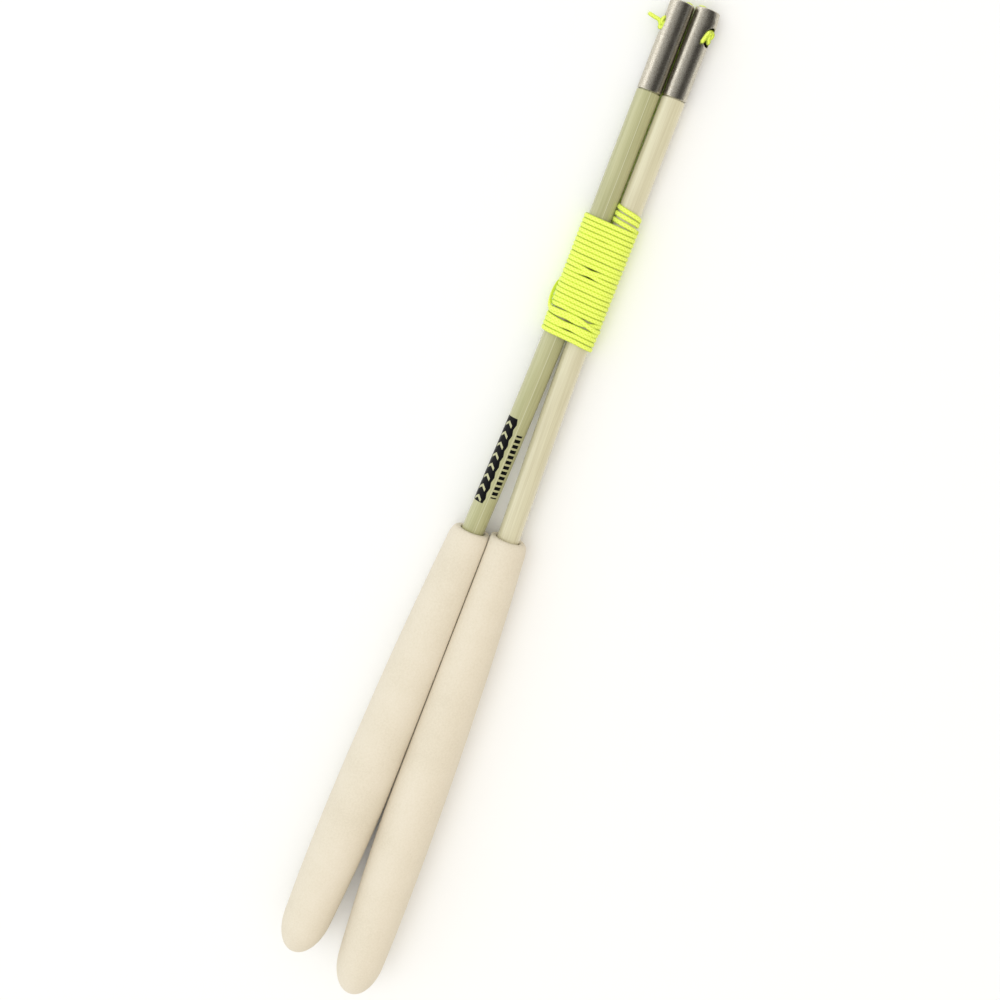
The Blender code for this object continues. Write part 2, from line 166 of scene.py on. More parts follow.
# Gaps that open between turns on the front: (level above, at what phase, half-width, opening)
FRONT_GAPS = (
    (22, 0.262, 0.050, 0.00014),
    (6, 0.370, 0.050, 0.00045),
    (4, 0.310, 0.065, 0.00050),
    (2, 0.270, 0.050, 0.00036),
)
GAP_REACH = 1.6  # how many levels away a gap still moves the turns

# Where two turns squeeze together on the front, the lower of them at this level
PINCHED_LEVEL = 14
PINCH_PHASE = 0.265
PINCH_HALF_WIDTH = 0.055
PINCH_SQUEEZE = 0.00042
PINCH_LIFT = 0.00035

# Where the string from the left tip passes under the tubes into the first turn
UNDER_TURN_ANGLE = math.radians(-135)
UNDER_WRAP = (
    (0.0018, GROOVE_SIDE, -GROOVE_DEPTH),
    (0.0009, 0.0004, -0.0034),
    (0.0003, -0.0008, -0.0040),
    (0.0001, -0.0024, -TURN_RADIUS),
    (0.0002, -HALF_SPACING, -TURN_RADIUS),
    (
        0.0003,
        -HALF_SPACING + TURN_RADIUS * math.cos(UNDER_TURN_ANGLE),
        TURN_RADIUS * math.sin(UNDER_TURN_ANGLE),
    ),
)
FLATTENING_LENGTH = 0.008  # over which the string takes on the flat section of the turns

# Turns round the right tube alone: (angle about its axis, along). 180 is its right side, 90 its front
# and 0 between the tubes
LOCKING_KEYS = (
    (180, 0.0383),
    (0, 0.0401),
    (-180, 0.0403),
    (-360, 0.0421),
    (-540, 0.0418),
    (-720, 0.0442),
    (-742, 0.0444),
)
LOCKING_STEP = 3.0
LOCKING_SMOOTHING = 5

# Where the string from the right tip leaves the groove and turns in between the tubes
RIGHT_GROOVE_END = 0.052
RIGHT_TURN_IN = (
    (0.0475, -GROOVE_SIDE, -GROOVE_DEPTH),
    (0.0458, -0.0006, -0.0030),
    (0.0447, -0.0001, -0.0023),
)

# Knots. Each cut tail's points, and where the string comes up, are from the knot's centre
KNOT_FROM_AXIS = 0.0034
KNOT_FROM_WINDOW = 0.0002
KNOT_SCALE = Vector((0.00058, 0.00036, 0.00044))
KNOT_STRING = 0.00115
KNOT_STEP = 0.00022
KNOT_ROOT_DEPTH = 0.0016
KNOT_ROOT_ALONG = 0.0006
TAILS = {
    "left": [(0.0003, 0.0014, 0.0003), (0.0006, 0.0030, 0.0005), (0.0010, 0.0050, 0.0006)],
    "right": [(0.0011, 0.0003, 0.0012), (-0.0004, 0.0009, 0.0018), (-0.0024, 0.0014, 0.0019)],
}
FIBRE_COUNT = 14
FIBRE_RADIUS = 0.00005
FIBRE_LENGTHS = (0.0004, 0.0009)
FIBRE_SPREAD = 0.0004
FIBRE_ROOT_DEPTH = 0.0002
FIBRE_ROOT_REACH = (0.1, 0.45)  # from the string's middle, in its diameters


class Stick:
    """Places along one stick. side is +1 for the left stick and -1 for the right one.

    dome_short is how much shorter the foam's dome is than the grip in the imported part.
    """

    def __init__(self, name, side, tip, grip_mouth, grip_end, window_turn, dome_short):
        self.name = name
        self.side = side
        self.body = f"{name}_stick"
        self.tip = tip
        self.foot = tip - FERRULE_LENGTH
        self.grip_mouth = grip_mouth
        self.plug_base = grip_end + FOAM_BELOW_PLUG
        self.dome_end = grip_end + dome_short
        self.tube_foot = self.plug_base + PLUG_HEAD_LENGTH + GAP
        self.window = tip - WINDOW_FROM_TIP
        self.outward = Vector((0, side * math.cos(window_turn), math.sin(window_turn)))
        self.axis = Vector((0, side * HALF_SPACING, 0))


LEFT = Stick("left", 1, 0.1045, -0.0672, -0.2333, math.radians(4), 0.0019)
RIGHT = Stick("right", -1, 0.1051, -0.0658, -0.2396, math.radians(30), 0.0008)


def stick_frame():
    """The matrix from the sticks' coordinates to the row frame."""
    slide = next(joint for joint in frame["joints"] if joint["name"] == "left_stick_slide")
    mount = next(m for m in frame["record"]["mounts"] if m["name"] == "wrap_underside")
    along = -Vector(slide["axis"]).normalized()
    across = Vector((0, 1, 0))
    height = along.cross(across)
    origin = Vector(mount["pos_m"]) - along * WRAP_LENGTH / 2 + height * WRAP_HALF_THICKNESS
    rotation = Matrix((along, across, height)).transposed().to_4x4()
    return Matrix.Translation(origin) @ rotation


TO_ROW = stick_frame()


# ---- camera

CAMERA_TARGET = Vector((-0.0548, 0.0012, 0))
CAMERA_DISTANCE = 0.43
CAMERA_LEAN = math.radians(13)
CAMERA_ROLL = math.radians(21.2)
CAMERA_LENS = 48.42


def make_camera():
    """Looks down on the sticks, leaning 13 degrees towards their tips, which point up and right."""
    to_row = TO_ROW.to_3x3()
    target = TO_ROW @ CAMERA_TARGET
    back = to_row @ Vector((math.sin(CAMERA_LEAN), 0, math.cos(CAMERA_LEAN)))
    sticks_up = to_row @ Vector((math.cos(CAMERA_LEAN), 0, -math.sin(CAMERA_LEAN)))
    sticks_left = to_row @ Vector((0, 1, 0))
    up = sticks_up * math.cos(CAMERA_ROLL) + sticks_left * math.sin(CAMERA_ROLL)
    right = up.cross(back)
    camera = bpy.data.objects.new("camera", bpy.data.cameras.new("camera"))
    camera.data.lens = CAMERA_LENS
    camera.data.clip_start = 0.01
    rotation = Matrix((right, up, back)).transposed().to_4x4()
    camera.matrix_world = Matrix.Translation(target + back * CAMERA_DISTANCE) @ rotation
    bpy.context.collection.objects.link(camera)
    bpy.context.scene.camera = camera


# ---- meshes

def grid_mesh(name, points, uvs, closed_rows=False):
    """A skin over a grid of points whose columns close up into rings.

    points is rows x columns x 3 and uvs is one row and one column longer, for the seams.
    """
    rows, columns = points.shape[:2]
    last_row = rows if closed_rows else rows - 1
    faces = []
    face_uvs = []
    for r in range(last_row):
        below = r * columns
        above = (r + 1) % rows * columns
        for c in range(columns):
            d = (c + 1) % columns
            faces.append((below + c, below + d, above + d, above + c))
            face_uvs += [uvs[r, c], uvs[r, c + 1], uvs[r + 1, c + 1], uvs[r + 1, c]]
    if not closed_rows:
        faces.append(tuple(range(columns - 1, -1, -1)))
        face_uvs += [uvs[0, 0]] * columns
        faces.append(tuple(range(last_row * columns, rows * columns)))
        face_uvs += [uvs[last_row, 0]] * columns
    mesh = bpy.data.meshes.new(name)
    mesh.from_pydata(points.reshape(-1, 3).tolist(), [], faces)
    layer = mesh.uv_layers.new(name="surface")
    layer.data.foreach_set("uv", np.array(face_uvs, np.float32).ravel())
    mesh.shade_smooth()
    return mesh


def add_piece(mesh, body, material, replaces=()):
    """Puts a mesh, made in the sticks' coordinates, into the scene on its body, under its own name."""
    mesh.transform(TO_ROW)
    mesh.materials.append(material)
    piece = bpy.data.objects.new(mesh.name, mesh)
    bpy.context.collection.objects.link(piece)
    if body:
        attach(piece, body)
    if replaces:
        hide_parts(*replaces)
    return piece


def spaced(start, end, count):
    return [start + (end - start) * i / count for i in range(count + 1)]


def bow(along):
    """How far a stick's axis has moved outwards, where the grips press the sticks apart."""
    past = max(0.0, BOW_START - along)
    return BOW_SLOPE * (math.hypot(past, BOW_LENGTH) - BOW_LENGTH)


def arc(along, radius, size, start, end, steps=5):
    """Points of (along, radius) on an arc. Angle 0 points outwards and 90 towards the tip."""
    angles = [math.radians(a) for a in spaced(start, end, steps)]
    return [(along + size * math.sin(a), radius + size * math.cos(a)) for a in angles]


def lathe_points(outline, steps, stick, reshape=None):
    """A grid of points of an (along, radius) outline turned about a stick's bowed axis.

    reshape may change a point's radius, from its place along and its angle.
    """
    points = np.zeros((len(outline), steps, 3))
    uvs = np.zeros((len(outline) + 1, steps + 1, 2))
    for r, (along, radius) in enumerate(outline):
        centre = stick.side * (HALF_SPACING + bow(along))
        for c in range(steps):
            angle = 2 * math.pi * c / steps
            reach = reshape(along, radius, angle) if reshape else radius
            points[r, c] = (along, centre + reach * math.cos(angle), reach * math.sin(angle))
        uvs[r, :, 0] = along
        uvs[r, :, 1] = np.arange(steps + 1) / steps
    uvs[-1] = uvs[0]
    return points, uvs


# ---- string routes

def distance_along(places):
    """The distance travelled at each place of a line of them."""
    return np.concatenate(([0], np.cumsum(np.linalg.norm(np.diff(places, axis=0), axis=1))))


class Route:
    """Stations along a string: place, outward direction, and the section's width and thickness."""

    def __init__(self):
        self.rows = []

    def add(self, place, outward, width=PACKED_DIAMETER, thickness=PACKED_DIAMETER):
        self.rows.append([*place, *outward, width, thickness])

    def stations(self, step=STATION_STEP):
        """The same route with its stations evenly spaced, as an array of rows."""
        rows = np.array(self.rows)
        gaps = np.linalg.norm(np.diff(rows[:, :3], axis=0), axis=1)
        rows = rows[np.concatenate(([True], gaps > 1e-6))]
        travelled = distance_along(rows[:, :3])
        even = np.linspace(0, travelled[-1], max(2, round(travelled[-1] / step)) + 1)
        return np.stack([np.interp(even, travelled, column) for column in rows.T], axis=1)


def smooth_route(points, steps=8):
    """Points on a smooth curve (Catmull-Rom, centripetal) through a route's own points."""
    knots = [Vector(p) for p in points]
    knots = [2 * knots[0] - knots[1], *knots, 2 * knots[-1] - knots[-2]]
    route = [knots[1]]
    for p0, p1, p2, p3 in zip(knots, knots[1:], knots[2:], knots[3:]):
        t1 = math.sqrt((p1 - p0).length)
        t2 = t1 + math.sqrt((p2 - p1).length)
        t3 = t2 + math.sqrt((p3 - p2).length)
        for i in range(1, steps + 1):
            t = t1 + (t2 - t1) * i / steps
            a1 = p0.lerp(p1, t / t1)
            a2 = p1.lerp(p2, (t - t1) / (t2 - t1))
            a3 = p2.lerp(p3, (t - t2) / (t3 - t2))
            b1 = a1.lerp(a2, t / t2)
            b2 = a2.lerp(a3, (t - t1) / (t3 - t1))
            route.append(b1.lerp(b2, (t - t1) / (t2 - t1)))
    return route


def tip_points(stick, lower_end):
    """From under the knot, out through the nose's hole, over the rim and down the groove."""
    groove = Vector((0, -stick.side * (HALF_SPACING - GROOVE_SIDE), -GROOVE_DEPTH))
    to_groove = groove.normalized()
    clear = RIM_THICKNESS / 2 + STRING_GAP / 2

    def bend(rounding, rim_radius, start, end):
        corner = arc(stick.tip - rounding, rim_radius, rounding + clear, start, end, steps=3)
        return [Vector((along, 0, 0)) + to_groove * reach for along, reach in corner]

    from_knot = stick.outward * KNOT_FROM_AXIS + Vector((stick.window, 0, 0))
    inside = stick.outward * INSIDE_FROM_AXIS + Vector((stick.window + INSIDE_FROM_WINDOW, 0, 0))
    hole_foot = Vector((stick.tip - NOSE_LENGTH, 0, 0)) + to_groove * (NOSE_HOLE_RADIUS - clear)
    points = [
        from_knot,
        inside,
        hole_foot,
        *bend(NOSE_MOUTH_ROUNDING, NOSE_HOLE_RADIUS + NOSE_MOUTH_ROUNDING, 180, 90),
        *bend(FERRULE_EDGE, FERRULE_RADIUS - FERRULE_EDGE, 90, 0),
        groove + Vector((stick.window, 0, 0)),
        groove + Vector((stick.foot, 0, 0)),
        groove + Vector(((stick.foot + lower_end) / 2, 0, 0)),
        groove + Vector((lower_end, 0, 0)),
    ]
    return [point + stick.axis for point in points]


def front_left(level):
    """Where a turn's strand meets the left side, from the wrap's first turn, level 0, upwards."""
    if level <= UNDER_LEVEL:
        return FIRST_LEFT + LOWER_PITCH * level
    return RESTART_LEFT + UPPER_PITCH * (level - OVER_LEVEL - 1)


def front_right(level):
    """The strands slope down to the right, most at the grip end of the wrap."""
    drop = FRONT_DROP + EXTRA_DROP * (1 - level / (TURN_COUNT - 1))
    drop += FOOT_DROP * max(0, 1 - level / FOOT_LEVELS)
    return front_left(level) - drop


def spread(phase, centre, half_width):
    return math.exp(-(((phase - centre) / half_width) ** 2))


def front_shift(level, phase):
    """How far the gaps and the pinch move a turn along the sticks and outwards."""
    shift = 0.0
    lift = 0.0
    for above, centre, half_width, opening in FRONT_GAPS:
        side = 1 if level >= above else -1
        steps_away = level - above if side == 1 else above - 1 - level
        moved = opening / 2 * spread(phase, centre, half_width)
        shift += side * moved * math.exp(-steps_away / GAP_REACH)
    pinch = spread(phase, PINCH_PHASE, PINCH_HALF_WIDTH)
    if level == PINCHED_LEVEL:
        shift += PINCH_SQUEEZE * pinch
    elif level == PINCHED_LEVEL + 1:
        shift -= PINCH_SQUEEZE * pinch
        lift = PINCH_LIFT * pinch
    return shift, lift


def ring_table(radius, steps=12):
    """Places and outward directions round both tubes, by phase: 0 right side, 0.25 front, 0.5 left."""
    points = []
    for side, start in ((-1, 180), (1, 90), (1, 0), (-1, -90)):
        for i in range(steps + 1):
            angle = math.radians(start - 90 * i / steps)
            outward = (math.cos(angle), math.sin(angle))
            points.append((side * HALF_SPACING + radius * outward[0], radius * outward[1], *outward))
    rows = np.array(points)
    travelled = distance_along(rows[:, :2])
    return travelled / travelled[-1], rows


def late_turn_keys():
    """The late turn: down the back from the turns above it, over the front, and back up the left."""
    top = front_left(OVER_AFTER)
    front_start = OVER_FRONT[0][1]
    front_end = OVER_FRONT[-1][1]
    return [
        (-0.45, top - 0.0006, 0.0006),
        (-0.42, top - 0.0016, 0.0009),
        (-0.22, front_start + 0.0010, 0.0009),
        (-0.17, front_start + 0.0001, 0.0006),
        (-0.08, front_start + 0.0001, 0.0004),
        *OVER_FRONT,
        (0.485, front_end + 0.0016, 0.0011),
        (0.52, top - 0.0024, 0.0011),
        (0.555, top - 0.0002, 0.0010),
        (0.63, top + 0.0005, 0.0004),
        (0.72, top + 0.0007, 0.0001),
    ]


def plain_turn_keys(level, draw):
    """A turn with nothing odd about it, or one near the grip end, which sags on the front."""
    uneven = draw.uniform(-UNEVEN_ALONG, UNEVEN_ALONG)
    lift = draw.uniform(*UNEVEN_LIFT)
    left = front_left(level) + uneven
    keys = [(0.0, front_right(level) + uneven, lift)]
    if level < UNDER_LEVEL:
        sag = UNDER_SAG if level == UNDER_LEVEL - 1 else MIDDLE_SAG
        keys.append((0.27, left - sag, lift))
    keys.append((0.5, left, lift))
    return keys


def winding_keys(draw):
    """(phase, along, lift) at the places where a turn's slope changes, over the whole winding."""
    keys = []
    for turn, level in enumerate(LEVELS):
        turn_keys = plain_turn_keys(level, draw)
        if level == UNDER_LEVEL:
            turn_keys = UNDER_FRONT
        elif level == OVER_LEVEL:
            turn_keys = late_turn_keys()
        keys += [(turn + phase, along, lift) for phase, along, lift in turn_keys]
    keys.append((len(LEVELS), LOCKING_KEYS[0][1], 0.0))
    return np.array(keys)


def softened(values, reach):
    """A moving average. Each end's own value is carried on past it."""
    padded = np.concatenate(([values[0]] * reach, values, [values[-1]] * reach))
    window = np.ones(2 * reach + 1) / (2 * reach + 1)
    return np.convolve(padded, window, mode="valid")


def winding_rows(draw):
    """The turns round both tubes."""
    keys = winding_keys(draw)
    ring_phase, ring = ring_table(TURN_RADIUS)
    phases = np.linspace(0, len(LEVELS), len(LEVELS) * STEPS_PER_TURN + 1)
    along = softened(np.interp(phases, keys[:, 0], keys[:, 1]), TURN_SMOOTHING)
    lift = softened(np.interp(phases, keys[:, 0], keys[:, 2]), TURN_SMOOTHING)
    rows = []
    for i, phase in enumerate(phases):
        turn = min(int(phase), len(LEVELS) - 1)
        here = phase - turn
        across, height, out_across, out_height = [np.interp(here, ring_phase, row) for row in ring.T]
        shift, extra = front_shift(LEVELS[turn], here)
        rise = lift[i] + extra
        place = (along[i] + shift, across + rise * out_across, height + rise * out_height)
        rows.append([*place, 0, out_across, out_height, TURN_WIDTH, TURN_THICKNESS])
    return rows


def main_route(draw):
    """From the left knot to the grip end of the wrap, then round both tubes to the wrap's top."""
    route = Route()
    away = Vector((1, 0, 0)).cross(Vector((0, -1, -1)).normalized())
    down = smooth_route(tip_points(LEFT, WRAP_LENGTH) + [Vector(place) for place in UNDER_WRAP])
    for place in down:
        flat = max(0.0, 1 - (place - down[-1]).length / FLATTENING_LENGTH)
        outward = away.lerp(Vector((0, 0, -1)), min(1.0, 2 * flat)).normalized()
        width = PACKED_DIAMETER + (TURN_WIDTH - PACKED_DIAMETER) * flat
        thickness = PACKED_DIAMETER + (TURN_THICKNESS - PACKED_DIAMETER) * flat
        route.add(place, outward, width, thickness)
    flatten_at_rim(route, LEFT)
    route.rows += winding_rows(draw)
    return route


def locking_reach(angle):
    """How far from the right tube's axis a strand can reach at an angle, as the left ferrule passes."""
    spacing = 2 * HALF_SPACING
    passing = FERRULE_RADIUS + STRING_GAP
    sine = spacing * math.sin(angle)
    if math.cos(angle) <= 0 or abs(sine) >= passing:
        return TURN_RADIUS
    return min(TURN_RADIUS, spacing * math.cos(angle) - math.sqrt(passing**2 - sine**2))


def locking_point(angle, along):
    """A station of a turn round the right tube alone, squeezed where it passes between the tubes."""
    reach = locking_reach(angle)
    thickness = min(TURN_THICKNESS, reach - TUBE_RADIUS)
    outward = Vector((0, math.cos(angle), math.sin(angle)))
    place = RIGHT.axis + Vector((along, 0, 0)) + outward * (reach - thickness / 2)
    return place, outward, TURN_WIDTH, thickness


def locking_route():
    """The turns round the right tube alone, from the wrap's top."""
    route = Route()
    keys = np.array(LOCKING_KEYS)
    for angle in np.arange(keys[0, 0], keys[-1, 0] - 1, -LOCKING_STEP):
        along = np.interp(-angle, -keys[:, 0], keys[:, 1])
        route.add(*locking_point(math.radians(angle), along))
    rows = np.array(route.rows)
    rows[:, 0] = softened(rows[:, 0], LOCKING_SMOOTHING)
    route.rows = rows.tolist()
    return route


def right_route():
    """From the right knot down the groove, and round into the end of the locking turns."""
    route = Route()
    end_angle, end_along = LOCKING_KEYS[-1]
    end_place = locking_point(math.radians(end_angle), end_along)[0]
    turn_in = [Vector(place) for place in RIGHT_TURN_IN] + [end_place]
    away = Vector((1, 0, 0)).cross(Vector((0, 1, -1)).normalized())
    for place in smooth_route(tip_points(RIGHT, RIGHT_GROOVE_END) + turn_in):
        route.add(place, away)
    flatten_at_rim(route, RIGHT)
    return route


# ---- string meshes

def braid_relief(travelled, around):
    """The crossing strands of the braid, as a height from 0 to 1."""
    lean = travelled / BRAID_PITCH
    one = 0.5 + 0.5 * np.cos(2 * math.pi * (lean + BRAID_LOBES * around))
    other = 0.5 + 0.5 * np.cos(2 * math.pi * (lean - BRAID_LOBES * around))
    return np.maximum(one, other)


def sweep(name, stations, before=0.0, round_start=True, round_end=True):
    """A braided string's mesh along its stations. before is the string's length before its start."""
    places = stations[:, :3]
    tangents = np.gradient(places, axis=0)
    tangents /= np.linalg.norm(tangents, axis=1)[:, None]
    outward = stations[:, 3:6]
    outward = outward - (outward * tangents).sum(axis=1)[:, None] * tangents
    outward /= np.linalg.norm(outward, axis=1)[:, None]
    sideways = np.cross(tangents, outward)
    travelled = before + distance_along(places)
    around = np.arange(STRING_SIDES) / STRING_SIDES
    relief = BRAID_RELIEF * (braid_relief(travelled[:, None], around[None, :]) - BRAID_MIDDLE)
    shrink = np.ones(len(places))
    if round_start:
        shrink[:2] = (0.5, 0.85)
    if round_end:
        shrink[-2:] = (0.85, 0.5)
    half_width = (stations[:, 6] / 2)[:, None] * shrink[:, None] + relief
    half_thickness = (stations[:, 7] / 2)[:, None] * shrink[:, None] + relief
    angle = 2 * math.pi * around
    points = (
        places[:, None, :]
        + (half_thickness * np.cos(angle))[:, :, None] * outward[:, None, :]
        + (half_width * np.sin(angle))[:, :, None] * sideways[:, None, :]
    )
    uvs = np.zeros((len(places) + 1, STRING_SIDES + 1, 2))
    uvs[:-1, :, 0] = travelled[:, None]
    uvs[-1, :, 0] = travelled[-1]
    uvs[:, :, 1] = np.arange(STRING_SIDES + 1) / STRING_SIDES
    return grid_mesh(name, points, uvs)


def flatten_at_rim(route, stick):
    """Squeezes the string flat where it bends over the ferrule's rim."""
    for row in route.rows:
        near = min(1.0, max(0.0, (row[0] - stick.tip + 2 * NOSE_LENGTH / 3) / (NOSE_LENGTH / 3)))
        row[6] += (RIM_THICKNESS - row[6]) * near


def length_of(stations):
    return float(distance_along(stations[:, :3])[-1])


def in_row(stations):
    return [list(TO_ROW @ Vector(place)) for place in stations[:, :3]]


def knot_route(stick):
    """An overhand knot, one end of which goes into the ferrule and the other is the cut tail."""
    along = Vector((1, 0, 0))
    sideways = along.cross(stick.outward)
    centre = stick.axis + along * (stick.window + KNOT_FROM_WINDOW) + stick.outward * KNOT_FROM_AXIS
    points = [centre - stick.outward * KNOT_ROOT_DEPTH + along * KNOT_ROOT_ALONG]
    for angle in np.linspace(math.radians(20), math.radians(340), 26):
        x = math.sin(angle) + 2 * math.sin(2 * angle)
        y = math.cos(angle) - 2 * math.cos(2 * angle)
        z = -1.6 * math.sin(3 * angle)
        place = along * x * KNOT_SCALE.x + stick.outward * z * KNOT_SCALE.y + sideways * y * KNOT_SCALE.z
        points.append(centre + place)
    points += [centre + Vector(place) for place in TAILS[stick.name]]
    route = Route()
    for point in smooth_route(points, steps=5):
        route.add(point, sideways + along * 0.2, KNOT_STRING, KNOT_STRING)
    return route


def fibre_ends(stations, draw):
    """Fine loose fibres at the string's cut end, as thin cones."""
    end = Vector(stations[-1, :3])
    forward = (end - Vector(stations[-4, :3])).normalized()
    side = forward.orthogonal().normalized()
    verts = []
    faces = []
    for _ in range(FIBRE_COUNT):
        turn = Matrix.Rotation(draw.uniform(0, 2 * math.pi), 3, forward)
        away = turn @ side
        root = end - forward * FIBRE_ROOT_DEPTH + away * draw.uniform(*FIBRE_ROOT_REACH) * KNOT_STRING
        tip = root + forward * draw.uniform(*FIBRE_LENGTHS) + away * draw.uniform(0.0, FIBRE_SPREAD)
        base = len(verts)
        for corner in range(3):
            spoke = Matrix.Rotation(2 * math.pi * corner / 3, 3, forward) @ side
            verts.append(root + spoke * FIBRE_RADIUS)
        verts.append(tip)
        faces += [(base, base + 2, base + 1), (base, base + 1, base + 3)]
        faces += [(base + 1, base + 2, base + 3), (base + 2, base, base + 3)]
    return verts, faces


# ---- materials

def rgb(colour):
    return (*colour, 1.0)


class Nodes:
    """A node tree and short ways to add nodes to it."""

    def __init__(self, tree):
        self.tree = tree

    def node(self, kind, inputs=None, output=0, **settings):
        node = self.tree.nodes.new(kind)
        for key, value in settings.items():
            setattr(node, key, value)
        for socket, value in (inputs or {}).items():
            self.feed(node.inputs[socket], value)
        return node.outputs[output]

    def feed(self, socket, value):
        if isinstance(value, bpy.types.NodeSocket):
            self.tree.links.new(value, socket)
        else:
            socket.default_value = value

    def math(self, operation, *values):
        return self.node("ShaderNodeMath", dict(enumerate(values)), operation=operation)

    def times(self, a, b):
        return self.math("MULTIPLY", a, b)

    def split(self, vector, *names):
        split = self.tree.nodes.new("ShaderNodeSeparateXYZ")
        self.feed(split.inputs[0], vector)
        return [split.outputs[name] for name in names]

    def ramp(self, factor, stops):
        ramp = self.tree.nodes.new("ShaderNodeValToRGB")
        self.feed(ramp.inputs[0], factor)
        elements = ramp.color_ramp.elements
        while len(elements) < len(stops):
            elements.new(0.5)
        for element, (position, colour) in zip(elements, stops):
            element.position = position
            element.color = rgb(colour)
        return ramp.outputs[0]

    def mix(self, factor, a, b):
        inputs = {"Factor": factor, 6: a, 7: b}
        return self.node("ShaderNodeMix", inputs, output=2, data_type="RGBA")


class Shader(Nodes):
    """A Principled material."""

    def __init__(self, name, colour, roughness, **values):
        self.material = bpy.data.materials.new(name)
        self.material.use_nodes = True
        super().__init__(self.material.node_tree)
        self.set("Base Color", rgb(colour))
        self.set("Roughness", roughness)
        for key, value in values.items():
            self.set(key.replace("_", " ").title(), value)

    def set(self, socket, value):
        self.feed(self.tree.nodes["Principled BSDF"].inputs[socket], value)

    def away(self, value, centre):
        """How far a value is from a centre, either way."""
        return self.math("ABSOLUTE", self.math("SUBTRACT", value, centre))

    def both(self, a, b):
        """1 where two masks are both 1."""
        return self.times(a, b)

    def between(self, value, low, high):
        """1 where a value is between two limits, 0 elsewhere."""
        return self.both(self.math("GREATER_THAN", value, low), self.math("LESS_THAN", value, high))

    def blend(self, a, b, part):
        """a and b added, with part of a and the rest of b."""
        return self.math("ADD", self.times(a, part), self.times(b, 1 - part))

    def noise(self, vector, scale, detail=2.0, roughness=0.5):
        inputs = {"Vector": vector, "Scale": scale, "Detail": detail, "Roughness": roughness}
        return self.node("ShaderNodeTexNoise", inputs)

    def place(self):
        return self.node("ShaderNodeTexCoord", output="Object")

    def surface(self):
        """The mesh's own coordinates: along, in metres, and the angle about its axis."""
        along, around = self.split(self.node("ShaderNodeUVMap", uv_map="surface"), "X", "Y")
        return along, self.times(around, 2 * math.pi)

    def stretched(self, stretch, radius=TUBE_RADIUS):
        """A vector round a tube with no seam, in which patterns come out stretch times longer."""
        along, angle = self.surface()
        x = self.times(along, 1 / stretch)
        y = self.times(self.math("COSINE", angle), radius)
        z = self.times(self.math("SINE", angle), radius)
        return self.node("ShaderNodeCombineXYZ", {"X": x, "Y": y, "Z": z})

    def bump(self, height, distance, strength):
        inputs = {"Height": height, "Distance": distance, "Strength": strength}
        self.set("Normal", self.node("ShaderNodeBump", inputs))


def string_material():
    """Fluorescent braid: its strands cross, and painted shade makes it greener and darker down its sides."""
    shader = Shader("string_braid", (0.74, 0.88, 0.11), 0.8, sheen_weight=0.15, sheen_roughness=0.5)
    along, angle = shader.surface()
    lean = shader.times(along, 2 * math.pi / BRAID_PITCH)
    lap = shader.times(angle, float(BRAID_LOBES))
    one = shader.math("COSINE", shader.math("ADD", lean, lap))
    other = shader.math("COSINE", shader.math("SUBTRACT", lean, lap))
    height = shader.math("MAXIMUM", one, other)
    fibres = shader.noise(shader.place(), 9000, 1.0)
    # Painted shade and highlight: the braid's raised strands are coloured lighter and its hollows darker, over the
    # fibres' random mottle.
    braid_shade_and_mottle = shader.math("ADD", shader.times(height, 0.3), fibres)
    strand = shader.ramp(braid_shade_and_mottle, [
        (0.25, (0.63, 0.78, 0.06)),
        (0.60, (0.81, 0.94, 0.12)),
        (0.95, (0.90, 0.99, 0.22)),
    ])
    # Painted shade: the string's sides, where the turns press together, are coloured darker and greener.
    sideways = shader.math("ABSOLUTE", shader.math("SINE", angle))
    crease_shade = shader.math("POWER", sideways, 4.0)
    shader.set("Base Color", shader.mix(crease_shade, strand, rgb((0.50, 0.62, 0.02))))
    # A faint painted glow, which brightens the string also where it lies in shade.
    shader.set("Emission Color", (0.55, 0.80, 0.02, 1.0))
    shader.set("Emission Strength", 0.05)
    shader.bump(braid_shade_and_mottle, 0.00006, 0.6)
    return shader.material


COAT = 0.9
# A painted highlight: a thin light line along the printed tube, a little past its top towards the other stick
HIGHLIGHT_LINE_CENTRE = math.radians(101)
HIGHLIGHT_LINE_HALF_WIDTH = math.radians(2)
HIGHLIGHT_LINE_STRENGTH = 0.45
HIGHLIGHT_LINE_COLOUR = (0.72, 0.72, 0.52)
INK_COLOUR = (0.004, 0.004, 0.005)
INK_DULLING = 0.4  # how much less the ink reflects than the bare resin


def fibreglass_material(name, colour, deep, printed_and_highlit=False):
    """Pulled fibreglass: lengthwise fibre streaks under a glossy resin skin."""
    shader = Shader(name, colour, 0.34, coat_weight=COAT, coat_roughness=0.25)
    streaks = shader.noise(shader.stretched(60), 2600, 3.0)
    clouds = shader.noise(shader.stretched(8), 260, 2.0)
    body = shader.ramp(shader.blend(streaks, clouds, 0.55), [(0.34, deep), (0.60, colour)])
    if printed_and_highlit:
        ink = print_mask(shader)
        # The light line is a painted highlight; the black print is the tube's own
        angle = shader.surface()[1]
        on_highlight_line = shader.math("LESS_THAN", shader.away(angle, HIGHLIGHT_LINE_CENTRE), HIGHLIGHT_LINE_HALF_WIDTH)
        body = shader.mix(shader.times(on_highlight_line, HIGHLIGHT_LINE_STRENGTH), body, rgb(HIGHLIGHT_LINE_COLOUR))
        body = shader.mix(ink, body, rgb(INK_COLOUR))
        dulled = shader.times(ink, INK_DULLING)
        shader.set("Specular IOR Level", shader.math("SUBTRACT", 0.5, dulled))
        shader.set("Coat Weight", shader.times(shader.math("SUBTRACT", 1.0, ink), COAT))
    shader.set("Base Color", body)
    shader.bump(streaks, 0.00002, 0.5)
    return shader.material


